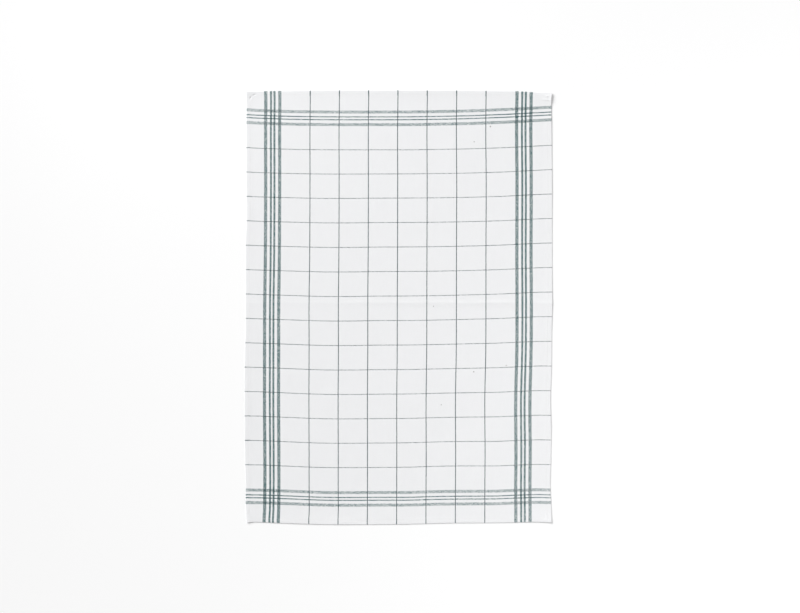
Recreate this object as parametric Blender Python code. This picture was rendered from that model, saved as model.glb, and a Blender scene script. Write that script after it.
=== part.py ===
"""Tea towel: one woven cotton panel with a narrow hem on all four sides, lying flat, face up.

Metres, +Z up. X runs across the towel and +Y towards its top edge. The origin is at the
middle of the outline, on the surface that the towel lies on.
"""

import math
from collections import namedtuple

import bmesh
import bpy

MM = 0.001

# Driving dimensions
TOWEL_WIDTH = 502.0 * MM
TOWEL_LENGTH = 709.0 * MM
CLOTH_THICKNESS = 1.0 * MM
HEM_THICKNESS = 1.8 * MM
HEM_WIDTH = 8.0 * MM
HEM_SLOPE = 3.0 * MM  # the face drops from the hem to the single cloth over this width
FOLD_ROUNDING = 0.6 * MM  # at the hem's outer fold
CELL = 22.0 * MM  # between grid lines on the open cloth
EDGE_REACH = 60.0 * MM  # how far in from a side its unevenness is felt

# The fold line that storage has left across the middle, as a soft ridge
CREASE_AT = 6.0 * MM
CREASE_HALF_WIDTH = 7.0 * MM
CREASE_HEIGHT = 0.9 * MM
CREASE_LEFT_SHARE = 0.35  # of its height, at the left side, where the ridge has relaxed

COTTON_WHITE = (0.86, 0.87, 0.88, 1.0)
COTTON_ROUGHNESS = 0.9

# How each side wanders. at is the place along the side, from -1 to 1 (left to right, or
# bottom to top), and out_mm is how far the cloth there stands outside the straight side.
SidePoint = namedtuple("SidePoint", "at out_mm")

LEFT_SIDE = [
    SidePoint(-1.00, -1.6),
    SidePoint(-0.92, 0.0),
    SidePoint(-0.84, 0.0),
    SidePoint(-0.72, 1.2),
    SidePoint(-0.45, 1.8),
    SidePoint(-0.28, 1.9),
    SidePoint(-0.06, 0.2),
    SidePoint(0.28, -0.1),
    SidePoint(0.42, -1.5),
    SidePoint(0.73, -1.0),
    SidePoint(0.91, -1.4),
    SidePoint(1.00, -1.0),
]
RIGHT_SIDE = [
    SidePoint(-1.00, 0.2),
    SidePoint(-0.95, -0.1),
    SidePoint(-0.82, -1.9),
    SidePoint(-0.71, -1.0),
    SidePoint(-0.57, -0.5),
    SidePoint(-0.43, -1.7),
    SidePoint(-0.30, -0.1),
    SidePoint(-0.08, 0.7),
    SidePoint(0.01, 1.4),
    SidePoint(0.10, 1.2),
    SidePoint(0.32, 1.1),
    SidePoint(0.58, 1.0),
    SidePoint(0.73, 0.7),
    SidePoint(0.84, 0.1),
    SidePoint(0.95, -0.2),
    SidePoint(1.00, 0.6),
]
TOP_SIDE = [
    SidePoint(-1.00, -1.2),
    SidePoint(-0.87, -0.6),
    SidePoint(-0.58, 0.1),
    SidePoint(-0.38, 0.8),
    SidePoint(0.38, 0.35),
    SidePoint(0.58, -0.2),
    SidePoint(0.79, -0.9),
    SidePoint(0.88, -2.3),
    SidePoint(1.00, -2.8),
]
BOTTOM_SIDE = [
    SidePoint(-1.00, 0.0),
    SidePoint(-0.95, -1.0),
    SidePoint(-0.74, 1.0),
    SidePoint(-0.53, 2.6),
    SidePoint(-0.37, 3.1),
    SidePoint(-0.10, 3.0),
    SidePoint(0.04, 2.6),
    SidePoint(0.16, 1.9),
    SidePoint(0.35, 0.7),
    SidePoint(0.56, 0.4),
    SidePoint(0.73, -0.2),
    SidePoint(0.89, -1.2),
    SidePoint(1.00, -0.3),
]

# Corners that stand off the surface: which corner, how high its tip is, how far in it starts.
CornerLift = namedtuple("CornerLift", "side_x side_y height_mm reach_mm")
CORNER_LIFTS = [
    CornerLift(1, 1, 3.2, 33.0),
    CornerLift(-1, 1, 1.2, 30.0),
    CornerLift(1, -1, 0.4, 36.0),
    CornerLift(-1, -1, 0.8, 30.0),
]

# Shallow waves along the sides. normal is the side's outward direction, and at as above.
SideWave = namedtuple("SideWave", "normal at half_length_mm height_mm reach_mm")
SIDE_WAVES = [
    SideWave((1, 0), 0.02, 60.0, 0.4, 26.0),
    SideWave((1, 0), 0.56, 70.0, 0.35, 22.0),
    SideWave((1, 0), -0.50, 60.0, 0.3, 20.0),
    SideWave((-1, 0), -0.46, 80.0, 0.5, 24.0),
    SideWave((-1, 0), 0.34, 60.0, 0.3, 20.0),
    SideWave((0, 1), 0.10, 80.0, 0.3, 20.0),
    SideWave((1, 0), 0.84, 62.0, 0.45, 22.0),
    SideWave((0, -1), -0.55, 110.0, 0.3, 22.0),
    SideWave((0, -1), 0.93, 60.0, 0.4, 22.0),
]


def eased(share):
    """A smooth step from 0 to 1 as share goes from 0 to 1."""
    held = min(max(share, 0.0), 1.0)
    return held * held * (3.0 - 2.0 * held)


def side_offset(table, at):
    """How far a side stands out at a place along it, on a smooth curve through its table."""
    row = 0
    while row < len(table) - 2 and table[row + 1].at < at:
        row += 1
    near, far = table[row], table[row + 1]
    before = table[max(row - 1, 0)]
    after = table[min(row + 2, len(table) - 1)]
    span = far.at - near.at
    slope_near = (far.out_mm - before.out_mm) / (far.at - before.at) * span
    slope_far = (after.out_mm - near.out_mm) / (after.at - near.at) * span
    t = (at - near.at) / span
    curve = (
        (2 * t**3 - 3 * t**2 + 1) * near.out_mm
        + (t**3 - 2 * t**2 + t) * slope_near
        + (3 * t**2 - 2 * t**3) * far.out_mm
        + (t**3 - t**2) * slope_far
    )
    return curve * MM


def grip(distance):
    """How strongly a point this far in from a side follows that side, from 1 to 0."""
    return 1.0 - eased(distance / EDGE_REACH)


def place_on_outline(x, y):
    """Where a point of the even rectangle comes to lie in the towel's uneven outline."""
    half_width, half_length = TOWEL_WIDTH / 2, TOWEL_LENGTH / 2
    across, along = x / half_width, y / half_length
    right = side_offset(RIGHT_SIDE, along) * grip(half_width - x)
    left = side_offset(LEFT_SIDE, along) * grip(half_width + x)
    top = side_offset(TOP_SIDE, across) * grip(half_length - y)
    bottom = side_offset(BOTTOM_SIDE, across) * grip(half_length + y)
    return x + right - left, y + top - bottom


def wave_height(wave, x, y):
    """One side wave's height at a point: a hump along the side that dies out inwards."""
    half_width, half_length = TOWEL_WIDTH / 2, TOWEL_LENGTH / 2
    normal_x, normal_y = wave.normal
    if normal_x:
        inwards, off_middle = half_width - x * normal_x, y - wave.at * half_length
    else:
        inwards, off_middle = half_length - y * normal_y, x - wave.at * half_width
    hump = 1.0 - eased(abs(off_middle) / (wave.half_length_mm * MM))
    return wave.height_mm * MM * hump * (1.0 - eased(inwards / (wave.reach_mm * MM)))


def corner_height(corner, x, y):
    """One corner's lift at a point, rising ever faster towards its tip."""
    from_side_x = TOWEL_WIDTH / 2 - x * corner.side_x
    from_side_y = TOWEL_LENGTH / 2 - y * corner.side_y
    rise = max(0.0, 1.0 - math.hypot(from_side_x, from_side_y) / (corner.reach_mm * MM))
    return corner.height_mm * MM * rise * rise


def crease_height(x, y):
    """The ridge that the storage fold has left, lower towards the left side."""
    ridge = max(0.0, 1.0 - abs(y - CREASE_AT) / CREASE_HALF_WIDTH)
    share = eased(x / TOWEL_WIDTH + 0.5)
    return CREASE_HEIGHT * ridge * (CREASE_LEFT_SHARE + (1.0 - CREASE_LEFT_SHARE) * share)


def underside_height(x, y):
    """How far the cloth is off the surface: zero where it lies flat, which is nearly all of it."""
    lifts = [corner_height(corner, x, y) for corner in CORNER_LIFTS]
    lifts += [wave_height(wave, x, y) for wave in SIDE_WAVES]
    return sum(lifts) + crease_height(x, y)


def thickness(x, y):
    """Three layers in the hem, one on the open cloth, with a short slope between."""
    inwards = min(TOWEL_WIDTH / 2 - abs(x), TOWEL_LENGTH / 2 - abs(y))
    past_hem = eased((inwards - HEM_WIDTH) / HEM_SLOPE)
    return HEM_THICKNESS + (CLOTH_THICKNESS - HEM_THICKNESS) * past_hem


def grid_lines(half, inner_knots=()):
    """Grid lines over one direction: both hems, any inner knots, and even cells between."""
    hem_foot = half - HEM_WIDTH - HEM_SLOPE
    right_half = [hem_foot, half - HEM_WIDTH, half]
    knots = [-knot for knot in reversed(right_half)] + list(inner_knots) + right_half
    lines = []
    for low, high in zip(knots, knots[1:]):
        cells = max(1, round((high - low) / CELL))
        lines += [low + (high - low) * cell / cells for cell in range(cells)]
    return lines + [knots[-1]]


def make_panel(name):
    """The whole hemmed panel as one closed body."""
    columns = grid_lines(TOWEL_WIDTH / 2)
    crease = [CREASE_AT - CREASE_HALF_WIDTH, CREASE_AT, CREASE_AT + CREASE_HALF_WIDTH]
    rows = grid_lines(TOWEL_LENGTH / 2, crease)
    bm = bmesh.new()
    bmesh.ops.create_grid(bm, x_segments=len(columns) - 1, y_segments=len(rows) - 1, size=1.0)
    for vert in bm.verts:
        column = round((vert.co.x + 1.0) / 2.0 * (len(columns) - 1))
        row = round((vert.co.y + 1.0) / 2.0 * (len(rows) - 1))
        vert.co = (columns[column], rows[row], 0.0)

    grown = bmesh.ops.extrude_face_region(bm, geom=bm.faces[:])["geom"]
    face_side = {item for item in grown if isinstance(item, bmesh.types.BMVert)}
    for vert in bm.verts:
        x, y = vert.co.x, vert.co.y
        height = underside_height(x, y)
        if vert in face_side:
            height += thickness(x, y)
        vert.co = (*place_on_outline(x, y), height)
    bmesh.ops.recalc_face_normals(bm, faces=bm.faces[:])

    round_the_folds(bm)
    settle_on_surface(bm)
    centre_on_origin(bm)
    mesh = bpy.data.meshes.new(name)
    bm.to_mesh(mesh)
    bm.free()
    return mesh


def round_the_folds(bm):
    """Rounds both rims of the outer wall, where the hem's outer layer folds over."""
    wall = [face for face in bm.faces if abs(face.normal.z) < 0.5]
    rims = {edge for face in wall for edge in face.edges if not on_wall_only(edge)}
    bmesh.ops.bevel(
        bm,
        geom=list(rims),
        affect="EDGES",
        offset=FOLD_ROUNDING,
        offset_type="OFFSET",
        segments=2,
        profile=0.5,
        material=-1,
        clamp_overlap=True,
    )


def on_wall_only(edge):
    """True of an upright edge between two wall faces."""
    return all(abs(face.normal.z) < 0.5 for face in edge.link_faces)


def settle_on_surface(bm):
    """Keeps the rounded rims from reaching below the surface beside a lifted stretch."""
    for vert in bm.verts:
        vert.co.z = max(vert.co.z, 0.0)


def centre_on_origin(bm):
    """Moves the panel sideways until its outline's box is centred on the origin."""
    xs = [vert.co.x for vert in bm.verts]
    ys = [vert.co.y for vert in bm.verts]
    middle = ((min(xs) + max(xs)) / 2, (min(ys) + max(ys)) / 2)
    bmesh.ops.translate(bm, verts=bm.verts[:], vec=(-middle[0], -middle[1], 0.0))


def cotton():
    """Bleached cotton, seen as a plain white cloth."""
    material = bpy.data.materials.new("white_cotton")
    material.use_nodes = True
    shader = material.node_tree.nodes["Principled BSDF"]
    shader.inputs["Base Color"].default_value = COTTON_WHITE
    shader.inputs["Roughness"].default_value = COTTON_ROUGHNESS
    shader.inputs["Metallic"].default_value = 0.0
    return material


def build_towel():
    for old in list(bpy.data.objects):
        bpy.data.objects.remove(old)
    towel = bpy.data.objects.new("towel_cloth", make_panel("towel_cloth"))
    towel.data.materials.append(cotton())
    towel.data.shade_smooth()
    towel.data.set_sharp_from_angle(angle=math.radians(35.0))
    bpy.context.scene.collection.objects.link(towel)


build_towel()
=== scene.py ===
"""Looks of the tea towel: white woven cotton with a window-pane check and striped borders.

Metres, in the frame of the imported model: +X to the towel's right side, +Y to its top
edge and +Z up from the surface that it lies on. The towel is first laid out about the
middle of its even rectangle, as in part.py, and then centred on its own outline.
"""

import math
from collections import namedtuple

import bmesh
import bpy
from mathutils import Matrix, Vector, noise


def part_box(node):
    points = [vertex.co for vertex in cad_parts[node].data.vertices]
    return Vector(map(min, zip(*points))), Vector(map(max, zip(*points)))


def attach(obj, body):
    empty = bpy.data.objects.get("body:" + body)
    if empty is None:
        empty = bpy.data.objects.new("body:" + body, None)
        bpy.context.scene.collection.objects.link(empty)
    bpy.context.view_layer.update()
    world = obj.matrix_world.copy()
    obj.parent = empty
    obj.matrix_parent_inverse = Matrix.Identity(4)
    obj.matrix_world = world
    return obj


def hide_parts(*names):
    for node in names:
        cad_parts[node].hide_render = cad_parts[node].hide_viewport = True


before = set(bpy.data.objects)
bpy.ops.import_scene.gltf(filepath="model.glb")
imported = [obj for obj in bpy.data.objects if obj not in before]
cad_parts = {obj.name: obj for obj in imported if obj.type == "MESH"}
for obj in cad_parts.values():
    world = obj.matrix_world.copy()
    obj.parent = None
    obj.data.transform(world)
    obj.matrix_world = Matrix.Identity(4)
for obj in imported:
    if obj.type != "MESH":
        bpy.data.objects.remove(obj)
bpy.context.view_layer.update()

MM = 0.001

# Sizes that part.py has too
TOWEL_WIDTH = 502.0 * MM
TOWEL_LENGTH = 709.0 * MM
HEM_WIDTH = 8.0 * MM
EDGE_REACH = 60.0 * MM  # how far in from a side its unevenness is felt

# Heights of the cloth and its hems over the surface
CLOTH_THICKNESS = 0.36 * MM
OPEN_LEVEL = 0.96 * MM  # the face of the open cloth, which lies loosely
HEM_LEVEL = 1.12 * MM  # the face of a hem at its fullest
HEM_CREST = 4.5 * MM  # how far in from the fold a hem stays at its fullest
HEM_FOOT = 12.5 * MM  # how far in the face has come down to the open cloth
FLAP_STEP = 0.7 * MM  # over this width the underside rises from the flap to the cloth
FOLD_RADIUS = 0.32 * MM
CORNER_BULK = 0.25 * MM  # where two hems cross
THINNEST_CLOTH = 0.05 * MM
STITCH_INSET = 6.4 * MM
STITCH_SINK = 0.1 * MM  # how far the thread pulls the face down
STITCH_LIFT = 0.15 * MM  # and the underside up
STITCH_SPREAD = 0.75 * MM
PUCKER_HEIGHT = 0.14 * MM
PUCKERS_PER_M = 75.0
UPRIGHT_HEM_SEED = 20.0
LEVEL_HEM_SEED = 40.0
OTHER_SIDE_SEED = 5.0  # added at the right and the top, taken off at the left and the bottom
HEM_FLATTENING = 0.7  # how much of the washed unevenness a hem takes out

# The grid of the cloth: close rows along the hems, given by how far in they are
HEM_ROWS_MM = (
    0.0, 0.08, 0.2, 0.4, 0.9, 1.5, 2.2, 2.9, 3.6, 4.3, 5.0, 5.7, 6.2, 6.6, 7.1, 7.7, 8.2, 8.7,
    9.4, 10.2, 11.0, 11.8, 12.7, 13.6, 14.6, 15.8, 17.4, 19.6, 22.2, 25.2,
)
OPEN_PITCH = 3.9 * MM
CREASE_PITCH = 1.5 * MM

# The fold line that storage has left across the middle, as a soft ridge
CREASE_AT = 6.5 * MM
CREASE_UP_REACH = 7.0 * MM
CREASE_DOWN_REACH = 10.0 * MM
CREASE_HEIGHT = 0.55 * MM
CREASE_SHARPNESS = 1.6
CREASE_LEFT_SHARE = 0.35
CREASE_WANDER = 0.8 * MM
CREASE_WANDERS_PER_M = 14.0
CREASE_UNEVENNESS = 0.35
CREASE_UNEVENNESS_PER_M = 20.0

# The slight unevenness of cloth that was washed and pressed, in three sizes
Ripple = namedtuple("Ripple", "across_per_m along_per_m seed height_mm")
WASHED_RIPPLES = [
    Ripple(13.0, 11.0, 3.0, 0.22),
    Ripple(38.0, 30.0, 7.0, 0.10),
    Ripple(90.0, 80.0, 11.0, 0.03),
]

# How each side wanders. at is the place along the side, from -1 to 1 (left to right, or
# bottom to top), and out_mm is how far the cloth there stands outside the straight side.
SidePoint = namedtuple("SidePoint", "at out_mm")

LEFT_SIDE = [
    SidePoint(-1.00, -1.6),
    SidePoint(-0.92, 0.0),
    SidePoint(-0.84, 0.0),
    SidePoint(-0.72, 1.2),
    SidePoint(-0.45, 1.8),
    SidePoint(-0.28, 1.9),
    SidePoint(-0.06, 0.2),
    SidePoint(0.28, -0.1),
    SidePoint(0.42, -1.5),
    SidePoint(0.73, -1.0),
    SidePoint(0.91, -1.4),
    SidePoint(1.00, -1.0),
]
RIGHT_SIDE = [
    SidePoint(-1.00, 0.2),
    SidePoint(-0.95, -0.1),
    SidePoint(-0.82, -1.9),
    SidePoint(-0.71, -1.0),
    SidePoint(-0.57, -0.5),
    SidePoint(-0.43, -1.7),
    SidePoint(-0.30, -0.1),
    SidePoint(-0.08, 0.7),
    SidePoint(0.01, 1.4),
    SidePoint(0.10, 1.2),
    SidePoint(0.32, 1.1),
    SidePoint(0.58, 1.0),
    SidePoint(0.73, 0.7),
    SidePoint(0.84, 0.1),
    SidePoint(0.95, -0.2),
    SidePoint(1.00, 0.6),
]
TOP_SIDE = [
    SidePoint(-1.00, -1.2),
    SidePoint(-0.87, -0.6),
    SidePoint(-0.58, 0.1),
    SidePoint(-0.38, 0.8),
    SidePoint(0.38, 0.35),
    SidePoint(0.58, -0.2),
    SidePoint(0.79, -0.9),
    SidePoint(0.88, -2.3),
    SidePoint(1.00, -2.8),
]
BOTTOM_SIDE = [
    SidePoint(-1.00, 0.0),
    SidePoint(-0.95, -1.0),
    SidePoint(-0.74, 1.0),
    SidePoint(-0.53, 2.6),
    SidePoint(-0.37, 3.1),
    SidePoint(-0.10, 3.0),
    SidePoint(0.04, 2.6),
    SidePoint(0.16, 1.9),
    SidePoint(0.35, 0.7),
    SidePoint(0.56, 0.4),
    SidePoint(0.73, -0.2),
    SidePoint(0.89, -1.2),
    SidePoint(1.00, -0.3),
]

# Corners that stand off the surface: which corner, how high its tip is, how far in it starts.
CornerLift = namedtuple("CornerLift", "side_x side_y height_mm reach_mm")
CORNER_LIFTS = [
    CornerLift(1, 1, 2.3, 33.0),
    CornerLift(-1, 1, 1.2, 30.0),
    CornerLift(1, -1, 0.4, 36.0),
    CornerLift(-1, -1, 0.8, 30.0),
]

# Shallow waves along the sides. normal is the side's outward direction, and at as above.
SideWave = namedtuple("SideWave", "normal at half_length_mm height_mm reach_mm")
SIDE_WAVES = [
    SideWave((1, 0), 0.02, 60.0, 0.4, 26.0),
    SideWave((1, 0), 0.56, 70.0, 0.35, 22.0),
    SideWave((1, 0), -0.50, 60.0, 0.3, 20.0),
    SideWave((-1, 0), -0.46, 80.0, 0.5, 24.0),
    SideWave((-1, 0), 0.34, 60.0, 0.3, 20.0),
    SideWave((0, 1), 0.10, 80.0, 0.3, 20.0),
    SideWave((1, 0), 0.84, 62.0, 0.45, 22.0),
    SideWave((0, -1), -0.55, 110.0, 0.3, 22.0),
    SideWave((0, -1), 0.93, 60.0, 0.4, 22.0),
]

# Short wrinkles near the corners. x_mm and y_mm are its middle, from the middle of the
# even rectangle, and turn_deg is the way it runs, from +X. A negative height is a dent.
Wrinkle = namedtuple("Wrinkle", "x_mm y_mm half_length_mm half_width_mm turn_deg height_mm")
WRINKLES = [
    Wrinkle(-237.8, 348.5, 4.8, 1.0, 26.0, -0.85),
    Wrinkle(-244.0, 343.8, 3.8, 1.0, 62.0, -0.85),
    Wrinkle(250.8, 345.0, 13.0, 2.6, 90.0, 1.4),
    Wrinkle(244.2, 348.1, 6.0, 1.1, 0.0, 0.50),
    Wrinkle(241.8, 341.9, 10.5, 1.2, -6.0, 0.70),
    Wrinkle(-249.3, -336.0, 14.0, 3.4, 90.0, 0.52),
    Wrinkle(-248.2, -328.9, 2.6, 0.9, 0.0, -0.5),
    Wrinkle(-246.0, -343.0, 5.0, 1.2, 20.0, 0.25),
    Wrinkle(243.0, -342.0, 7.0, 1.4, -80.0, 0.3),
    Wrinkle(240.0, -346.0, 5.0, 1.2, 80.0, -0.25),
]

# Where the woven pattern's middle lies, from the middle of the even rectangle
PATTERN_X = -2.05 * MM
PATTERN_Y = -3.1 * MM

# How the yarns wander. at is the place up or across the towel, from -1 to 1, and the other
# columns say how many millimetres the named part's yarns lie to the right there, or higher.
# WARP_COLUMNS and WEFT_ROWS say where those parts are, from -1 to 1.
WarpDrift = namedtuple("WarpDrift", "at left_border line_1 line_4 line_7 right_border")
WARP_COLUMNS = (-0.85, -0.58, 0.0, 0.57, 0.81)
WARP_DRIFT = [
    WarpDrift(-0.98, -0.5, -1.1, -1.3, -0.8, -0.5),
    WarpDrift(-0.94, 0.3, -0.5, -1.3, -0.8, -0.5),
    WarpDrift(-0.82, 0.8, -0.7, -1.1, -0.7, -0.8),
    WarpDrift(-0.67, 0.7, -0.7, -1.0, -0.3, -0.3),
    WarpDrift(-0.44, 0.2, -1.0, -1.1, -0.8, -0.8),
    WarpDrift(-0.21, 0.3, -0.7, -0.3, 0.8, 1.1),
    WarpDrift(0.01, 0.5, -0.8, -0.2, 1.1, 1.5),
    WarpDrift(0.24, 1.6, 0.3, 0.2, 1.1, 1.1),
    WarpDrift(0.58, 2.1, 0.8, 0.5, 1.5, 1.3),
    WarpDrift(0.81, 2.0, 0.7, 0.3, 0.8, 0.7),
    WarpDrift(0.93, 2.3, 1.1, 0.8, 1.1, 1.0),
    WarpDrift(0.99, 2.3, 1.4, 1.1, 1.5, 1.5),
]
WeftBow = namedtuple("WeftBow", "at bottom_border low lower middle upper top top_border")
WEFT_ROWS = (-0.87, -0.75, -0.35, 0.0, 0.5, 0.75, 0.87)
WEFT_BOW = [
    WeftBow(-0.98, 3.95, 4.1, 4.1, 3.7, 3.6, 3.4, 3.55),
    WeftBow(-0.91, 3.9, 3.9, 3.7, 3.2, 3.0, 2.6, 2.75),
    WeftBow(-0.73, 2.35, 2.0, 1.8, 1.7, 1.7, 1.0, 1.15),
    WeftBow(-0.51, 0.15, -0.2, -0.3, -0.1, 0.6, 0.2, 0.35),
    WeftBow(-0.33, -0.3, -0.5, -0.7, -0.3, 0.5, 0.0, 0.15),
    WeftBow(-0.13, -0.05, -0.2, -0.1, 0.4, 0.9, 0.0, 0.2),
    WeftBow(0.07, 0.05, 0.3, 0.2, 0.6, 1.1, 0.0, 0.3),
    WeftBow(0.26, 1.4, 1.8, 1.3, 1.3, 1.5, 0.7, 1.0),
    WeftBow(0.45, 1.85, 2.3, 2.2, 2.4, 2.3, 1.5, 2.0),
    WeftBow(0.64, 2.15, 2.3, 3.0, 3.7, 3.6, 3.1, 3.7),
    WeftBow(0.71, 2.9, 3.0, 3.7, 4.4, 4.3, 3.8, 4.4),
    WeftBow(0.91, 4.45, 4.8, 5.7, 6.7, 6.9, 6.4, 7.0),
    WeftBow(0.98, 4.0, 4.4, 5.6, 6.9, 7.6, 7.4, 7.9),
]

# The weave. Stripes are counted in yarns from the pattern's middle line, on both sides of it.
WARP_REPEAT = 48.1 * MM
WARP_REPEAT_YARNS = 74
WARP_PITCH = WARP_REPEAT / WARP_REPEAT_YARNS
WEFT_REPEAT = 40.1 * MM
WEFT_REPEAT_YARNS = 68
WEFT_PITCH = WEFT_REPEAT / WEFT_REPEAT_YARNS
LINE_YARNS = 2

# first is the stripe's first dyed yarn, yarns how many it has, and strength how strongly they
# are dyed.
Stripe = namedtuple("Stripe", "first yarns strength")
WARP_BORDER = [
    Stripe(296, 8, 0.92),
    Stripe(311, 5, 1.15),
    Stripe(320, 5, 1.15),
    Stripe(332, 8, 0.92),
]
WEFT_BORDER = [
    Stripe(508, 8, 0.80),
    Stripe(524, 3, 1.40),
    Stripe(532, 3, 1.40),
    Stripe(543, 8, 0.80),
]

# The check's fine lines. first is the first line's place, repeat the yarns from one line to
# the next, end where they stop, and strength how strongly they are dyed.
Lines = namedtuple("Lines", "first repeat end strength")
WARP_LINES = Lines(0, WARP_REPEAT_YARNS, 3.5 * WARP_REPEAT_YARNS, 1.9)
WEFT_LINES = Lines(WEFT_REPEAT_YARNS / 2, WEFT_REPEAT_YARNS, 7 * WEFT_REPEAT_YARNS, 1.05)

# Colours as the shader takes them, and how the yarns cover each other
COTTON_WHITE = (0.869, 0.873, 0.884, 1.0)
DYED_YARN = (0.022, 0.105, 0.107, 1.0)
LINE_YARN = (0.022, 0.060, 0.069, 1.0)
BOTH_YARNS_DYED = (0.048, 0.086, 0.092, 1.0)
SPECK_BROWN = (0.16, 0.14, 0.12, 1.0)
THREAD_WHITE = (0.83, 0.83, 0.82, 1.0)
FLOOR_WHITE = (0.94, 0.94, 0.94, 1.0)
WARP_COVER = 0.25  # how far the warp spreads over the weft, 0 is evenly
COVER_SWAY = 1.6  # and how much that differs from place to place
COVER_SWAYS_PER_M = 1000.0
CROSSING_SHARPNESS = 6.0
SHOW_THROUGH = 0.48  # how much of a dyed yarn shows through the white one over it
YARN_WANDER = 0.7  # how far the yarns sway to and fro, in yarns
YARN_WANDERS_PER_M = 160.0
YARN_TONES_PER_M = 45.0  # along a yarn
YARN_TONE_STEP = 3.7  # from one yarn to the next
PAINTED_YARN_SIDE_SHADE = 0.90  # painted shade: the brightness of a yarn's rounded sides beside that of its top, between the yarns
DULLEST_YARN = 0.97
BRIGHTEST_YARN = 1.03
NO_DYE = 0.01  # less than this counts as a white yarn
WEAKEST_DYE = 0.86
STRONGEST_DYE = 1.12
DYE_PATCHES_PER_M = 680.0
PATCH_LEVEL = 1.05  # the patches' middle strength
WARP_MOTTLE = 0.75  # how far the patches fade and deepen the warp's dye
WEFT_MOTTLE = 1.10  # and how far the weft's
SHADE_TWIST = 0.10  # painted shade: how much darker the dyed yarns are at the lower left and the upper right
SHADE_SLANT = 0.03  # and at the left
HEM_SKEW = 0.5 * MM  # how far the stripes of a hem's inner layers lie from those of its face

# The fine relief of the cloth's face
YARN_RELIEF = 0.16 * MM
FIBRES_PER_M = 5200.0
FIBRE_RELIEF = 0.45  # beside that of a yarn's roundness
TONE_RELIEF = 0.5  # how much further a brighter yarn stands out
CRINKLES_PER_M = 420.0
CRINKLE_RELIEF = 0.25 * MM

# How much of its inner layers shows through each hem's face
LEFT_HEM_SHOW_THROUGH = 0.42
TOP_HEM_SHOW_THROUGH = 0.42
RIGHT_HEM_SHOW_THROUGH = 0.0
BOTTOM_HEM_SHOW_THROUGH = 0.10

# Small dark specks that are spun into the yarn, from the middle of the even rectangle
SPECK_STRENGTH = 0.75
Speck = namedtuple("Speck", "x_mm y_mm radius_mm")
SPECKS = [
    Speck(150.8, 295.8, 1.1),
    Speck(124.0, 270.7, 0.8),
    Speck(57.2, 0.8, 0.7),
    Speck(176.6, -96.6, 0.8),
    Speck(123.4, -106.9, 1.0),
    Speck(69.9, -161.1, 0.8),
]

# Sewing along the hems
STITCH_PITCH = 3.1 * MM
STITCH_HALF_LENGTH = 1.3 * MM
STITCH_HALF_WIDTH = 0.18 * MM
STITCH_HALF_HEIGHT = 0.13 * MM
HEADING_STEP = 0.5 * MM  # how far to either side a stitch looks for the hem's direction


def eased(share):
    """A smooth step from 0 to 1 as share goes from 0 to 1."""
    held = min(max(share, 0.0), 1.0)
    return held * held * (3.0 - 2.0 * held)


def bell(off_middle, spread):
    """A soft hump of height 1 about a middle line."""
    return math.exp(-((off_middle / spread) ** 2))


def curve_through(places, amounts, at):
    """The height at one place of a smooth curve through a table's points."""
    last = len(places) - 1
    row = 0
    while row < last - 1 and places[row + 1] < at:
        row += 1
    before, after = max(row - 1, 0), min(row + 2, last)
    span = places[row + 1] - places[row]
    slope_near = (amounts[row + 1] - amounts[before]) / (places[row + 1] - places[before])
    slope_far = (amounts[after] - amounts[row]) / (places[after] - places[row])
    t = min(max((at - places[row]) / span, 0.0), 1.0)
    return (
        (2 * t**3 - 3 * t**2 + 1) * amounts[row]
        + (t**3 - 2 * t**2 + t) * slope_near * span
        + (3 * t**2 - 2 * t**3) * amounts[row + 1]
        + (t**3 - t**2) * slope_far * span
    )


def side_offset(table, at):
    """How far a side stands out at a place along it."""
    places = [point.at for point in table]
    return curve_through(places, [point.out_mm for point in table], at) * MM


def grip(distance):
    """How strongly a point this far in from a side follows that side, from 1 to 0."""
    return 1.0 - eased(distance / EDGE_REACH)


def place_on_outline(x, y):
    """Where a point of the even rectangle comes to lie in the towel's uneven outline."""
    half_width, half_length = TOWEL_WIDTH / 2, TOWEL_LENGTH / 2
    across, along = x / half_width, y / half_length
    right = side_offset(RIGHT_SIDE, along) * grip(half_width - x)
    left = side_offset(LEFT_SIDE, along) * grip(half_width + x)
    top = side_offset(TOP_SIDE, across) * grip(half_length - y)
    bottom = side_offset(BOTTOM_SIDE, across) * grip(half_length + y)
    return x + right - left, y + top - bottom


def wave_height(wave, x, y):
    """One side wave's height at a point: a hump along the side that dies out inwards."""
    half_width, half_length = TOWEL_WIDTH / 2, TOWEL_LENGTH / 2
    normal_x, normal_y = wave.normal
    if normal_x:
        inwards, off_middle = half_width - x * normal_x, y - wave.at * half_length
    else:
        inwards, off_middle = half_length - y * normal_y, x - wave.at * half_width
    hump = 1.0 - eased(abs(off_middle) / (wave.half_length_mm * MM))
    return wave.height_mm * MM * hump * (1.0 - eased(inwards / (wave.reach_mm * MM)))


def corner_height(corner, x, y):
    """One corner's lift at a point, rising ever faster towards its tip."""
    from_side_x = TOWEL_WIDTH / 2 - x * corner.side_x
    from_side_y = TOWEL_LENGTH / 2 - y * corner.side_y
    rise = max(0.0, 1.0 - math.hypot(from_side_x, from_side_y) / (corner.reach_mm * MM))
    return corner.height_mm * MM * rise * rise


def crease_height(x, y):
    """The ridge of the storage fold: steeper above its crest, and lower at the left."""
    wander = noise.noise(Vector((x * CREASE_WANDERS_PER_M, 2.0, 5.0)))
    crest = CREASE_AT + CREASE_WANDER * wander
    reach = CREASE_UP_REACH if y > crest else CREASE_DOWN_REACH
    ridge = max(0.0, 1.0 - abs(y - crest) / reach)
    share = eased(x / TOWEL_WIDTH + 0.5)
    patch = noise.noise(Vector((x * CREASE_UNEVENNESS_PER_M, 8.0, 1.0)))
    uneven = 1.0 + CREASE_UNEVENNESS * patch
    left_to_right = CREASE_LEFT_SHARE + (1.0 - CREASE_LEFT_SHARE) * share
    return CREASE_HEIGHT * ridge**CREASE_SHARPNESS * left_to_right * uneven


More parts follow.
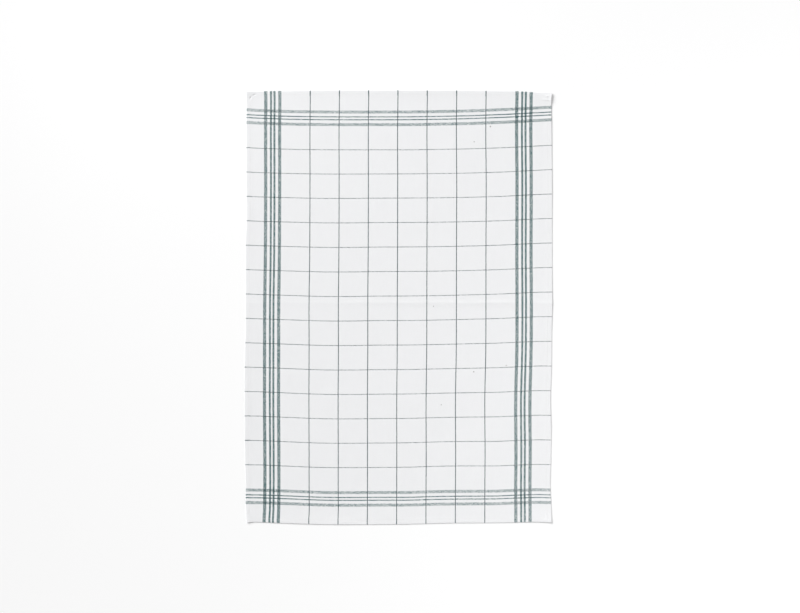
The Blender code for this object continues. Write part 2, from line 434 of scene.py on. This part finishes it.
def lifted_height(x, y):
    """How far the towel is off the surface at its corners, sides and fold line."""
    lifts = [corner_height(corner, x, y) for corner in CORNER_LIFTS]
    lifts += [wave_height(wave, x, y) for wave in SIDE_WAVES]
    return sum(lifts) + crease_height(x, y)


def washed_relief(x, y):
    """The slight unevenness of cloth that was washed and pressed."""
    total_mm = 0.0
    for ripple in WASHED_RIPPLES:
        place = Vector((x * ripple.across_per_m, y * ripple.along_per_m, ripple.seed))
        total_mm += ripple.height_mm * noise.noise(place)
    return total_mm * MM


def wrinkle_height(wrinkle, x, y):
    """One short wrinkle's height at a point."""
    turn = math.radians(wrinkle.turn_deg)
    off_x, off_y = x - wrinkle.x_mm * MM, y - wrinkle.y_mm * MM
    along = off_x * math.cos(turn) + off_y * math.sin(turn)
    across = off_y * math.cos(turn) - off_x * math.sin(turn)
    length_share = 1.0 - eased(abs(along) / (wrinkle.half_length_mm * MM))
    return wrinkle.height_mm * MM * length_share * bell(across, wrinkle.half_width_mm * MM)


def inwards_of(x, y):
    """How far in a point is from the upright side and from the cross side nearest to it."""
    return TOWEL_WIDTH / 2 - abs(x), TOWEL_LENGTH / 2 - abs(y)


def swell(inwards):
    """How much of a hem's height is left this far in from its fold, from 1 to 0."""
    return 1.0 - eased((inwards - HEM_CREST) / (HEM_FOOT - HEM_CREST))


def pucker(inwards, along, seed):
    """The small waves that the sewing draws into a hem."""
    waves = noise.noise(Vector((along * PUCKERS_PER_M, seed, 0.5)))
    return PUCKER_HEIGHT * waves * bell(inwards - 0.5 * HEM_WIDTH, 0.5 * HEM_WIDTH)


def fold_rounding(inwards):
    """How far the face has risen round a hem's outer fold, from 0 to 1."""
    off_centre = 1.0 - min(max(inwards / FOLD_RADIUS, 0.0), 1.0)
    return math.sqrt(1.0 - off_centre * off_centre)


def flap_share(x, y):
    """1 where the hem's flap lies under the cloth, and 0 on the open cloth."""
    inwards = min(inwards_of(x, y))
    return 1.0 - eased((inwards - HEM_WIDTH) / FLAP_STEP)


def inner_layers_seen(x, y):
    """How much of a hem's inner layers shows at a point, and 0 on the open cloth."""
    inwards_x, inwards_y = inwards_of(x, y)
    upright = LEFT_HEM_SHOW_THROUGH if x < 0 else RIGHT_HEM_SHOW_THROUGH
    level = BOTTOM_HEM_SHOW_THROUGH if y < 0 else TOP_HEM_SHOW_THROUGH
    return flap_share(x, y) * (upright if inwards_x < inwards_y else level)


def heights(x, y):
    """The underside's and the face's height at a point of the even rectangle."""
    inwards_x, inwards_y = inwards_of(x, y)
    swell_x, swell_y = swell(inwards_x), swell(inwards_y)
    hem = 1.0 - (1.0 - swell_x) * (1.0 - swell_y)
    lifted = lifted_height(x, y)
    relief = washed_relief(x, y) * (1.0 - HEM_FLATTENING * hem)
    relief += sum(wrinkle_height(wrinkle, x, y) for wrinkle in WRINKLES)
    relief += pucker(inwards_x, y, UPRIGHT_HEM_SEED + math.copysign(OTHER_SIDE_SEED, x))
    relief += pucker(inwards_y, x, LEVEL_HEM_SEED + math.copysign(OTHER_SIDE_SEED, y))
    sewn_x = bell(inwards_x - STITCH_INSET, STITCH_SPREAD)
    sewn_y = bell(inwards_y - STITCH_INSET, STITCH_SPREAD)
    sewn = max(sewn_x, sewn_y)
    face = lifted + OPEN_LEVEL + (HEM_LEVEL - OPEN_LEVEL) * hem + CORNER_BULK * swell_x * swell_y
    face += relief - STITCH_SINK * sewn
    flap = flap_share(x, y)
    flap_level = lifted + STITCH_LIFT * sewn
    underside = flap_level * flap + (face - CLOTH_THICKNESS) * (1.0 - flap)
    middle = lifted + 0.5 * HEM_LEVEL
    rounding = min(fold_rounding(inwards_x), fold_rounding(inwards_y))
    if rounding < 1.0:
        face = middle + (face - middle) * rounding
        underside = middle + (underside - middle) * rounding
    return max(underside, 0.0), max(face, underside + THINNEST_CLOTH)


def yarn_place(x, y):
    """Where a point of the laid towel is in the weave, from the pattern's middle."""
    across, along = x / (TOWEL_WIDTH / 2), y / (TOWEL_LENGTH / 2)
    up_places = [row.at for row in WARP_DRIFT]
    drifts = [
        curve_through(up_places, [row[column] for row in WARP_DRIFT], along)
        for column in range(1, 6)
    ]
    across_places = [row.at for row in WEFT_BOW]
    bows = [
        curve_through(across_places, [row[column] for row in WEFT_BOW], across)
        for column in range(1, 8)
    ]
    drift = curve_through(WARP_COLUMNS, drifts, across)
    bow = curve_through(WEFT_ROWS, bows, along)
    return x - PATTERN_X - drift * MM, y - PATTERN_Y - bow * MM


def spread_lines(low, high, pitch):
    """Even grid lines from low up to, and without, high."""
    cells = max(1, round((high - low) / pitch))
    return [low + (high - low) * cell / cells for cell in range(cells)]


def grid_lines(half, creased):
    """Grid lines over one direction: close at the hems, and at the fold line if it crosses."""
    hem_rows = [row * MM for row in HEM_ROWS_MM]
    low, high = hem_rows[-1] - half, half - hem_rows[-1]
    lines = [row - half for row in hem_rows[:-1]]
    if creased:
        crease_low = CREASE_AT - CREASE_DOWN_REACH - CREASE_WANDER
        crease_high = CREASE_AT + CREASE_UP_REACH + CREASE_WANDER
        lines += spread_lines(low, crease_low, OPEN_PITCH)
        lines += spread_lines(crease_low, crease_high, CREASE_PITCH)
        lines += spread_lines(crease_high, high, OPEN_PITCH)
    else:
        lines += spread_lines(low, high, OPEN_PITCH)
    return lines + [half - row for row in reversed(hem_rows)]


def finished_object(bm, name):
    """Makes a piece of a finished bmesh, smooth, with its faces pointing outwards."""
    bmesh.ops.recalc_face_normals(bm, faces=bm.faces[:])
    mesh = bpy.data.meshes.new(name)
    bm.to_mesh(mesh)
    bm.free()
    mesh.shade_smooth()
    piece = bpy.data.objects.new(name, mesh)
    bpy.context.scene.collection.objects.link(piece)
    return piece


def weave_cloth():
    """The hemmed panel as a thin closed shell, with its weave and bake maps."""
    columns = grid_lines(TOWEL_WIDTH / 2, creased=False)
    rows = grid_lines(TOWEL_LENGTH / 2, creased=True)
    bm = bmesh.new()
    bmesh.ops.create_grid(bm, x_segments=len(columns) - 1, y_segments=len(rows) - 1, size=1.0)
    for vert in bm.verts:
        column = round((vert.co.x + 1.0) / 2.0 * (len(columns) - 1))
        row = round((vert.co.y + 1.0) / 2.0 * (len(rows) - 1))
        vert.co = (columns[column], rows[row], 0.0)
    hem_layers = bm.verts.layers.float.new("hem_layers")
    grown = bmesh.ops.extrude_face_region(bm, geom=bm.faces[:])["geom"]
    face_side = {item for item in grown if isinstance(item, bmesh.types.BMVert)}

    even_places = {}
    yarn_places = {}
    for vert in bm.verts:
        x, y = vert.co.x, vert.co.y
        underside, face = heights(x, y)
        laid_x, laid_y = place_on_outline(x, y)
        even_places[vert] = (x / TOWEL_WIDTH + 0.5, y / TOWEL_LENGTH + 0.5)
        yarn_places[vert] = yarn_place(laid_x, laid_y)
        vert[hem_layers] = inner_layers_seen(x, y)
        vert.co = (laid_x, laid_y, face if vert in face_side else underside)

    bake_map = bm.loops.layers.uv.new("OFBake")
    yarn_map = bm.loops.layers.uv.new("yarns")
    for face in bm.faces:
        for loop in face.loops:
            loop[bake_map].uv = even_places[loop.vert]
            loop[yarn_map].uv = yarn_places[loop.vert]
    return bm


def centre_shift(bm):
    """How far sideways the laid towel moves so that its outline is centred on the CAD's."""
    low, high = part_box("towel_cloth")
    xs = [vert.co.x for vert in bm.verts]
    ys = [vert.co.y for vert in bm.verts]
    shift_x = (low[0] + high[0]) / 2 - (min(xs) + max(xs)) / 2
    shift_y = (low[1] + high[1]) / 2 - (min(ys) + max(ys)) / 2
    return Vector((shift_x, shift_y, 0.0))


def on_hem(side, along):
    """The even rectangle's point on a hem's stitch line. side is its outward normal."""
    reach_x = TOWEL_WIDTH / 2 - STITCH_INSET
    reach_y = TOWEL_LENGTH / 2 - STITCH_INSET
    if side[0]:
        return side[0] * reach_x, along
    return along, side[1] * reach_y


def laid_point(x, y, on_face):
    """A point of the even rectangle where it lies in space, on the face or the underside."""
    underside, face = heights(x, y)
    laid_x, laid_y = place_on_outline(x, y)
    return Vector((laid_x, laid_y, face if on_face else underside + STITCH_HALF_HEIGHT))


def stitch_shape():
    """One stitch, about the origin: a short rounded dash of thread."""
    bm = bmesh.new()
    bmesh.ops.create_uvsphere(bm, u_segments=6, v_segments=4, radius=1.0)
    size = (STITCH_HALF_LENGTH, STITCH_HALF_WIDTH, STITCH_HALF_HEIGHT)
    bmesh.ops.scale(bm, vec=size, verts=bm.verts[:])
    mesh = bpy.data.meshes.new("stitch")
    bm.to_mesh(mesh)
    bm.free()
    return mesh


def add_stitch(bm, stitch, side, along, on_face):
    """Adds one stitch where it follows the hem."""
    before = laid_point(*on_hem(side, along - HEADING_STEP), on_face)
    middle = laid_point(*on_hem(side, along), on_face)
    after = laid_point(*on_hem(side, along + HEADING_STEP), on_face)
    heading = (after - before).normalized()
    turn = heading.to_track_quat("X", "Z").to_matrix().to_4x4()
    placed = stitch.copy()
    placed.transform(Matrix.Translation(middle) @ turn)
    bm.from_mesh(placed)
    bpy.data.meshes.remove(placed)


def sew_hems():
    """The running stitches of all four hems, on the face and on the underside."""
    bm = bmesh.new()
    stitch = stitch_shape()
    for side in ((-1, 0), (1, 0), (0, 1), (0, -1)):
        half = TOWEL_LENGTH / 2 if side[0] else TOWEL_WIDTH / 2
        end = half - STITCH_INSET
        stitches = round(2 * end / STITCH_PITCH)
        for number in range(stitches):
            along = -end + 2 * end * (number + 0.5) / stitches
            add_stitch(bm, stitch, side, along, on_face=True)
            add_stitch(bm, stitch, side, along, on_face=False)
    bpy.data.meshes.remove(stitch)
    return bm


# Materials

# The sockets of a Mix node that mixes colours, which share their names with others
MIX_SHARE = 0
MIX_FIRST = 6
MIX_SECOND = 7
MIX_RESULT = 2


def put(tree, kind, **settings):
    """Adds one node to a material."""
    node = tree.nodes.new(kind)
    for name, setting in settings.items():
        setattr(node, name, setting)
    return node


def plug(tree, socket, value):
    """Gives one socket a number, a colour or another node's output."""
    if isinstance(value, bpy.types.NodeSocket):
        tree.links.new(value, socket)
    else:
        socket.default_value = value


def feed(tree, node, **values):
    """Gives a node's named inputs their values."""
    for name, value in values.items():
        plug(tree, node.inputs[name.replace("_", " ")], value)


def reckon(tree, operation, *values):
    """One step of arithmetic in a pattern."""
    node = put(tree, "ShaderNodeMath", operation=operation)
    for socket, value in zip(node.inputs, values):
        plug(tree, socket, value)
    return node.outputs[0]


def held_to_1(tree, number):
    """The number held between 0 and 1."""
    node = put(tree, "ShaderNodeClamp")
    feed(tree, node, Value=number)
    return node.outputs[0]


def mixed(tree, share, first, second, blend="MIX"):
    """A colour between two, or the first tinted by the second."""
    node = put(tree, "ShaderNodeMix", data_type="RGBA", blend_type=blend)
    plug(tree, node.inputs[MIX_SHARE], share)
    plug(tree, node.inputs[MIX_FIRST], first)
    plug(tree, node.inputs[MIX_SECOND], second)
    return node.outputs[MIX_RESULT]


def between(tree, share, low, high):
    """A number between two others."""
    span = reckon(tree, "SUBTRACT", high, low)
    return reckon(tree, "ADD", low, reckon(tree, "MULTIPLY", share, span))


def speckle(tree, vector, scale, detail=2.0, roughness=0.5):
    """Soft noise, about 0.5, over a surface or along a yarn."""
    node = put(tree, "ShaderNodeTexNoise", noise_dimensions="3D")
    feed(tree, node, Vector=vector, Scale=scale, Detail=detail, Roughness=roughness)
    return node.outputs["Fac"]


def within(tree, number, middle, reach):
    """1 where a number is less than reach from middle, and 0 elsewhere."""
    off_middle = reckon(tree, "ABSOLUTE", reckon(tree, "SUBTRACT", number, middle))
    return reckon(tree, "LESS_THAN", off_middle, reach)


def yarn_count(tree, yarn):
    """The middle of the yarn at a point, counted from the pattern's middle line."""
    return reckon(tree, "ADD", reckon(tree, "FLOOR", reckon(tree, "ABSOLUTE", yarn)), 0.5)


def fine_lines(tree, yarn, lines):
    """The check's lines in one direction, over 0 on their dyed yarns."""
    count = yarn_count(tree, yarn)
    turned = reckon(tree, "ADD", count, lines.first + lines.repeat / 2)
    in_repeat = reckon(tree, "MODULO", turned, lines.repeat)
    line = within(tree, in_repeat, lines.repeat / 2, LINE_YARNS / 2)
    line = reckon(tree, "MULTIPLY", line, lines.strength)
    return reckon(tree, "MULTIPLY", line, reckon(tree, "LESS_THAN", count, lines.end))


def border_stripes(tree, yarn, border):
    """The border's stripes in one direction, over 0 on their dyed yarns."""
    count = yarn_count(tree, yarn)
    marks = 0.0
    for stripe in border:
        band = within(tree, count, stripe.first + stripe.yarns / 2, stripe.yarns / 2)
        band = reckon(tree, "MULTIPLY", band, stripe.strength)
        marks = reckon(tree, "MAXIMUM", band, marks)
    return marks


def dyed_yarns(tree, yarn, lines, border):
    """Over 0 on all the dyed yarns of one direction."""
    stripes = border_stripes(tree, yarn, border)
    return reckon(tree, "MAXIMUM", fine_lines(tree, yarn, lines), stripes)


def dye_colour(tree, warp, weft, both_dyed):
    """The dyed yarns' colour: greyer on the fine lines, and where both yarns are dyed."""
    warp_lines = fine_lines(tree, warp, WARP_LINES)
    weft_lines = fine_lines(tree, weft, WEFT_LINES)
    lines = reckon(tree, "MAXIMUM", warp_lines, weft_lines)
    colour = mixed(tree, held_to_1(tree, lines), DYED_YARN, LINE_YARN)
    return mixed(tree, held_to_1(tree, both_dyed), colour, BOTH_YARNS_DYED)


def yarn_tone(tree, number, along, seed):
    """How one yarn differs from the next, and along its own length, about 0.5."""
    place = put(tree, "ShaderNodeCombineXYZ")
    step = reckon(tree, "MULTIPLY", number, YARN_TONE_STEP)
    feed(tree, place, X=step, Y=reckon(tree, "MULTIPLY", along, YARN_TONES_PER_M), Z=seed)
    return speckle(tree, place.outputs[0], 1.0, detail=1.0)


def painted_stripe_shade(tree, across, along):
    """Painted shade on the dyed yarns: a factor about 1 on their dye that varies from place to
    place.
    """
    side = reckon(tree, "DIVIDE", across, TOWEL_WIDTH / 2)
    end = reckon(tree, "DIVIDE", along, TOWEL_LENGTH / 2)
    twist = reckon(tree, "MULTIPLY", reckon(tree, "MULTIPLY", side, end), SHADE_TWIST)
    slant = reckon(tree, "MULTIPLY", side, -SHADE_SLANT)
    return reckon(tree, "ADD", reckon(tree, "ADD", twist, slant), 1.0)


def dulled(colour, share):
    """A colour with only this share of its brightness."""
    return tuple(share * part for part in colour[:3]) + (1.0,)


def start_material(name):
    """A new node material, with its tree and its shader."""
    material = bpy.data.materials.new(name)
    material.use_nodes = True
    tree = material.node_tree
    return material, tree, tree.nodes["Principled BSDF"]


def swayed_yarns(tree, across, along, object_place):
    """Where a point is in yarns, warp and weft, with the yarns' slight swaying."""
    wander = speckle(tree, object_place, YARN_WANDERS_PER_M)
    wander = reckon(tree, "MULTIPLY", reckon(tree, "SUBTRACT", wander, 0.5), YARN_WANDER)
    warp = reckon(tree, "ADD", reckon(tree, "DIVIDE", across, WARP_PITCH), wander)
    weft = reckon(tree, "ADD", reckon(tree, "DIVIDE", along, WEFT_PITCH), wander)
    return warp, weft


def yarn_wave(tree, yarn):
    """The weave's to and fro: one half wave over each yarn, up and then down."""
    return reckon(tree, "SINE", reckon(tree, "MULTIPLY", yarn, math.pi))


def warp_on_top(tree, warp_wave, weft_wave, object_place):
    """1 where the warp lies over the weft, and 0 where it lies under."""
    crossing = reckon(tree, "MULTIPLY", warp_wave, weft_wave)
    sway = speckle(tree, object_place, COVER_SWAYS_PER_M, detail=0.0)
    cover = between(tree, sway, WARP_COVER - COVER_SWAY, WARP_COVER + COVER_SWAY)
    warp_over = reckon(tree, "ADD", crossing, cover)
    warp_over = reckon(tree, "MULTIPLY", warp_over, CROSSING_SHARPNESS)
    return held_to_1(tree, reckon(tree, "ADD", warp_over, 0.5))


def inner_layer_dye(tree, warp, weft):
    """The dye of a hem's inner layers that shows through its face."""
    hem = put(tree, "ShaderNodeAttribute", attribute_type="GEOMETRY", attribute_name="hem_layers")
    inner_warp = reckon(tree, "ADD", warp, HEM_SKEW / WARP_PITCH)
    inner_weft = reckon(tree, "SUBTRACT", weft, HEM_SKEW / WEFT_PITCH)
    inner_warp = dyed_yarns(tree, inner_warp, WARP_LINES, WARP_BORDER)
    inner_weft = dyed_yarns(tree, inner_weft, WEFT_LINES, WEFT_BORDER)
    inner_dye = reckon(tree, "MAXIMUM", inner_warp, inner_weft)
    return reckon(tree, "MULTIPLY", inner_dye, hem.outputs["Fac"])


def dye_patches(tree, warp_dye, both_dyed, object_place):
    """How patchily the yarns took the dye: more so in the weft, and evenly where both did."""
    patches = speckle(tree, object_place, DYE_PATCHES_PER_M, detail=0.0)
    warp_mottle = between(tree, patches, PATCH_LEVEL - WARP_MOTTLE, PATCH_LEVEL + WARP_MOTTLE)
    weft_mottle = between(tree, patches, PATCH_LEVEL - WEFT_MOTTLE, PATCH_LEVEL + WEFT_MOTTLE)
    weft_alone = reckon(tree, "LESS_THAN", warp_dye, NO_DYE)
    mottle = between(tree, weft_alone, warp_mottle, weft_mottle)
    return between(tree, held_to_1(tree, both_dyed), mottle, 1.0)


def specks(tree, object_place, shift):
    """1 on the few dark specks of the cloth. shift is how far the laid towel was moved."""
    flat = put(tree, "ShaderNodeVectorMath", operation="MULTIPLY")
    tree.links.new(object_place, flat.inputs[0])
    flat.inputs[1].default_value = (1.0, 1.0, 0.0)
    marks = 0.0
    for speck in SPECKS:
        gap = put(tree, "ShaderNodeVectorMath", operation="DISTANCE")
        tree.links.new(flat.outputs[0], gap.inputs[0])
        gap.inputs[1].default_value = Vector((speck.x_mm * MM, speck.y_mm * MM, 0.0)) + shift
        mark = reckon(tree, "LESS_THAN", gap.outputs["Value"], speck.radius_mm * MM)
        marks = reckon(tree, "MAXIMUM", mark, marks)
    return reckon(tree, "MULTIPLY", marks, SPECK_STRENGTH)


def cloth_relief(tree, roundness, fibres, tone, object_place):
    """The fine relief of the yarns, their fibres and the cloth's crinkles, as a normal."""
    relief = reckon(tree, "ADD", roundness, reckon(tree, "MULTIPLY", fibres, FIBRE_RELIEF))
    relief = reckon(tree, "ADD", relief, reckon(tree, "MULTIPLY", tone, TONE_RELIEF))
    weave_bump = put(tree, "ShaderNodeBump")
    feed(tree, weave_bump, Strength=0.55, Distance=YARN_RELIEF, Height=relief)
    crinkle = speckle(tree, object_place, CRINKLES_PER_M, detail=2.0)
    crinkle_bump = put(tree, "ShaderNodeBump")
    feed(tree, crinkle_bump, Strength=0.35, Distance=CRINKLE_RELIEF, Height=crinkle)
    feed(tree, crinkle_bump, Normal=weave_bump.outputs[0])
    return crinkle_bump.outputs[0]


def checked_cotton(shift):
    """Plain-woven cotton: white, with dyed yarns in both directions."""
    material, tree, shader = start_material("checked_cotton")
    yarn_map = put(tree, "ShaderNodeUVMap", uv_map="yarns")
    spot = put(tree, "ShaderNodeSeparateXYZ")
    feed(tree, spot, Vector=yarn_map.outputs[0])
    across, along = spot.outputs[0], spot.outputs[1]
    object_place = put(tree, "ShaderNodeTexCoord").outputs["Object"]

    warp, weft = swayed_yarns(tree, across, along, object_place)
    warp_wave, weft_wave = yarn_wave(tree, warp), yarn_wave(tree, weft)
    warp_over = warp_on_top(tree, warp_wave, weft_wave, object_place)
    warp_round = reckon(tree, "ABSOLUTE", warp_wave)
    weft_round = reckon(tree, "ABSOLUTE", weft_wave)
    roundness = between(tree, warp_over, weft_round, warp_round)
    warp_tone = yarn_tone(tree, reckon(tree, "FLOOR", warp), along, 1.0)
    weft_tone = yarn_tone(tree, reckon(tree, "FLOOR", weft), across, 9.0)
    tone = between(tree, warp_over, weft_tone, warp_tone)

    warp_dye = dyed_yarns(tree, warp, WARP_LINES, WARP_BORDER)
    weft_dye = dyed_yarns(tree, weft, WEFT_LINES, WEFT_BORDER)
    both_dyed = reckon(tree, "MINIMUM", warp_dye, weft_dye)
    over_dye = between(tree, warp_over, weft_dye, warp_dye)
    under_dye = between(tree, warp_over, warp_dye, weft_dye)
    dye = reckon(tree, "MAXIMUM", over_dye, reckon(tree, "MULTIPLY", under_dye, SHOW_THROUGH))
    dye = reckon(tree, "MAXIMUM", dye, inner_layer_dye(tree, warp, weft))
    dye_fading_and_shade = between(tree, tone, WEAKEST_DYE, STRONGEST_DYE)
    patches = dye_patches(tree, warp_dye, both_dyed, object_place)
    dye_fading_and_shade = reckon(tree, "MULTIPLY", dye_fading_and_shade, patches)
    # painted shade: the dye deepened towards the lower left, the upper right and the left
    dye_fading_and_shade = reckon(tree, "MULTIPLY", dye_fading_and_shade, painted_stripe_shade(tree, across, along))
    dye = held_to_1(tree, reckon(tree, "MULTIPLY", dye, dye_fading_and_shade))

    # painted shade darkens each yarn's rounded sides between the yarns; the yarns' own tones
    # differ at random
    shade = between(tree, roundness, PAINTED_YARN_SIDE_SHADE, 1.0)
    yarn_shade = between(tree, tone, DULLEST_YARN, BRIGHTEST_YARN)
    shade = reckon(tree, "MULTIPLY", shade, yarn_shade)
    cotton = mixed(tree, dye, COTTON_WHITE, dye_colour(tree, warp, weft, both_dyed))
    grey = put(tree, "ShaderNodeCombineColor")
    feed(tree, grey, Red=shade, Green=shade, Blue=shade)
    cotton = mixed(tree, 1.0, cotton, grey.outputs[0], blend="MULTIPLY")
    cotton = mixed(tree, specks(tree, object_place, shift), cotton, SPECK_BROWN)

    fibres = speckle(tree, object_place, FIBRES_PER_M, detail=3.0, roughness=0.65)
    relief = cloth_relief(tree, roundness, fibres, tone, object_place)
    feed(tree, shader, Base_Color=cotton, Normal=relief)
    feed(tree, shader, Roughness=between(tree, fibres, 0.80, 0.96))
    shader.inputs["Specular IOR Level"].default_value = 0.25
    shader.inputs["Sheen Weight"].default_value = 0.12
    shader.inputs["Sheen Roughness"].default_value = 0.55
    return material


def sewing_thread():
    """White cotton thread, with the slant of its twist."""
    material, tree, shader = start_material("sewing_thread")
    object_place = put(tree, "ShaderNodeTexCoord").outputs["Object"]
    twist = put(tree, "ShaderNodeTexWave", bands_direction="DIAGONAL")
    feed(tree, twist, Vector=object_place, Scale=900.0, Distortion=1.5)
    bump = put(tree, "ShaderNodeBump")
    feed(tree, bump, Strength=0.5, Distance=0.05 * MM, Height=twist.outputs["Fac"])
    tone = speckle(tree, object_place, 300.0)
    cotton = mixed(tree, tone, THREAD_WHITE, dulled(THREAD_WHITE, 0.93))
    feed(tree, shader, Base_Color=cotton, Normal=bump.outputs[0])
    feed(tree, shader, Roughness=between(tree, tone, 0.6, 0.8))
    shader.inputs["Sheen Weight"].default_value = 0.1
    return material


def pale_floor():
    """A matt white surface with the faintest unevenness."""
    material, tree, shader = start_material("pale_floor")
    object_place = put(tree, "ShaderNodeTexCoord").outputs["Object"]
    tone = speckle(tree, object_place, 3.0)
    white = mixed(tree, tone, FLOOR_WHITE, dulled(FLOOR_WHITE, 0.995))
    feed(tree, shader, Base_Color=white, Roughness=0.95)
    shader.inputs["Specular IOR Level"].default_value = 0.1
    return material


# The studio

FLOOR_HALF = 6.0
FLOOR_GAP = 0.05 * MM
PHOTO_WIDTH_PX = 800
TOWEL_MM_PER_PX = 1.642
LENS_MM = 85.0
SENSOR_MM = 36.0
CAMERA_X = 2.22 * MM  # from the middle of the even rectangle, as CAMERA_Y is
CAMERA_Y = 0.33 * MM
KEY_ELEVATION = 32.0
KEY_AZIMUTH = 135.0
KEY_STRENGTH = 3.25
KEY_SOFTNESS = 36.0
SKY_STRENGTH = 0.398

# Two soft lights beside the towel, with places from its middle
SideLight = namedtuple("SideLight", "name x y height size watts")
SIDE_LIGHTS = [
    SideLight("fill_light", 1.3, -0.6, 0.6, 0.8, 5.05),
    SideLight("top_light", -0.4, 0.7, 0.6, 0.4, 0.8),
]


def lay_floor():
    """The plain pale surface that the towel lies on."""
    bm = bmesh.new()
    place = Matrix.Translation((0.0, 0.0, -FLOOR_GAP))
    bmesh.ops.create_grid(bm, x_segments=1, y_segments=1, size=FLOOR_HALF, matrix=place)
    floor = finished_object(bm, "floor")
    floor.data.materials.append(pale_floor())


def set_camera(shift):
    """Straight down on the towel, in the photograph's frame."""
    camera = bpy.data.objects.new("camera", bpy.data.cameras.new("camera"))
    camera.data.lens = LENS_MM
    camera.data.sensor_width = SENSOR_MM
    view_width = PHOTO_WIDTH_PX * TOWEL_MM_PER_PX * MM
    distance = view_width * LENS_MM / SENSOR_MM
    camera.location = Vector((CAMERA_X, CAMERA_Y, OPEN_LEVEL + distance)) + shift
    bpy.context.scene.collection.objects.link(camera)
    bpy.context.scene.camera = camera


def add_side_light(light):
    """A soft lamp beside the towel, aimed at its middle."""
    lamp = bpy.data.objects.new(light.name, bpy.data.lights.new(light.name, "AREA"))
    lamp.data.size = light.size
    lamp.data.energy = light.watts
    lamp.location = (light.x, light.y, light.height)
    lamp.rotation_euler = (-lamp.location).to_track_quat("-Z", "Y").to_euler()
    lamp.visible_camera = False
    bpy.context.scene.collection.objects.link(lamp)


def light_studio():
    """A soft key light from the upper left, two side lights, and even light from all round."""
    for light in SIDE_LIGHTS:
        add_side_light(light)
    turn, rise = math.radians(KEY_AZIMUTH), math.radians(KEY_ELEVATION)
    sideways = math.cos(rise)
    to_light = Vector((math.cos(turn) * sideways, math.sin(turn) * sideways, math.sin(rise)))
    key = bpy.data.objects.new("key_light", bpy.data.lights.new("key_light", "SUN"))
    key.data.energy = KEY_STRENGTH
    key.data.angle = math.radians(KEY_SOFTNESS)
    key.rotation_euler = (-to_light).to_track_quat("-Z", "Y").to_euler()
    bpy.context.scene.collection.objects.link(key)
    world = bpy.data.worlds.new("studio")
    world.use_nodes = True
    sky = world.node_tree.nodes["Background"]
    sky.inputs["Color"].default_value = (1.0, 1.0, 1.0, 1.0)
    sky.inputs["Strength"].default_value = SKY_STRENGTH
    bpy.context.scene.world = world
    bpy.context.scene.view_settings.view_transform = "Standard"


def make_towel():
    """Weaves, hems and lays the towel, and returns how far it was moved to lie centred."""
    cloth_mesh = weave_cloth()
    shift = centre_shift(cloth_mesh)
    stitch_mesh = sew_hems()
    for mesh in (cloth_mesh, stitch_mesh):
        bmesh.ops.translate(mesh, verts=mesh.verts[:], vec=shift)
    cloth = finished_object(cloth_mesh, "woven_cloth")
    cloth.data.materials.append(checked_cotton(shift))
    stitches = finished_object(stitch_mesh, "hem_stitching")
    stitches.data.materials.append(sewing_thread())
    for piece in (cloth, stitches):
        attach(piece, "root")
    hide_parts("towel_cloth")
    return shift


set_camera(make_towel())
lay_floor()
light_studio()
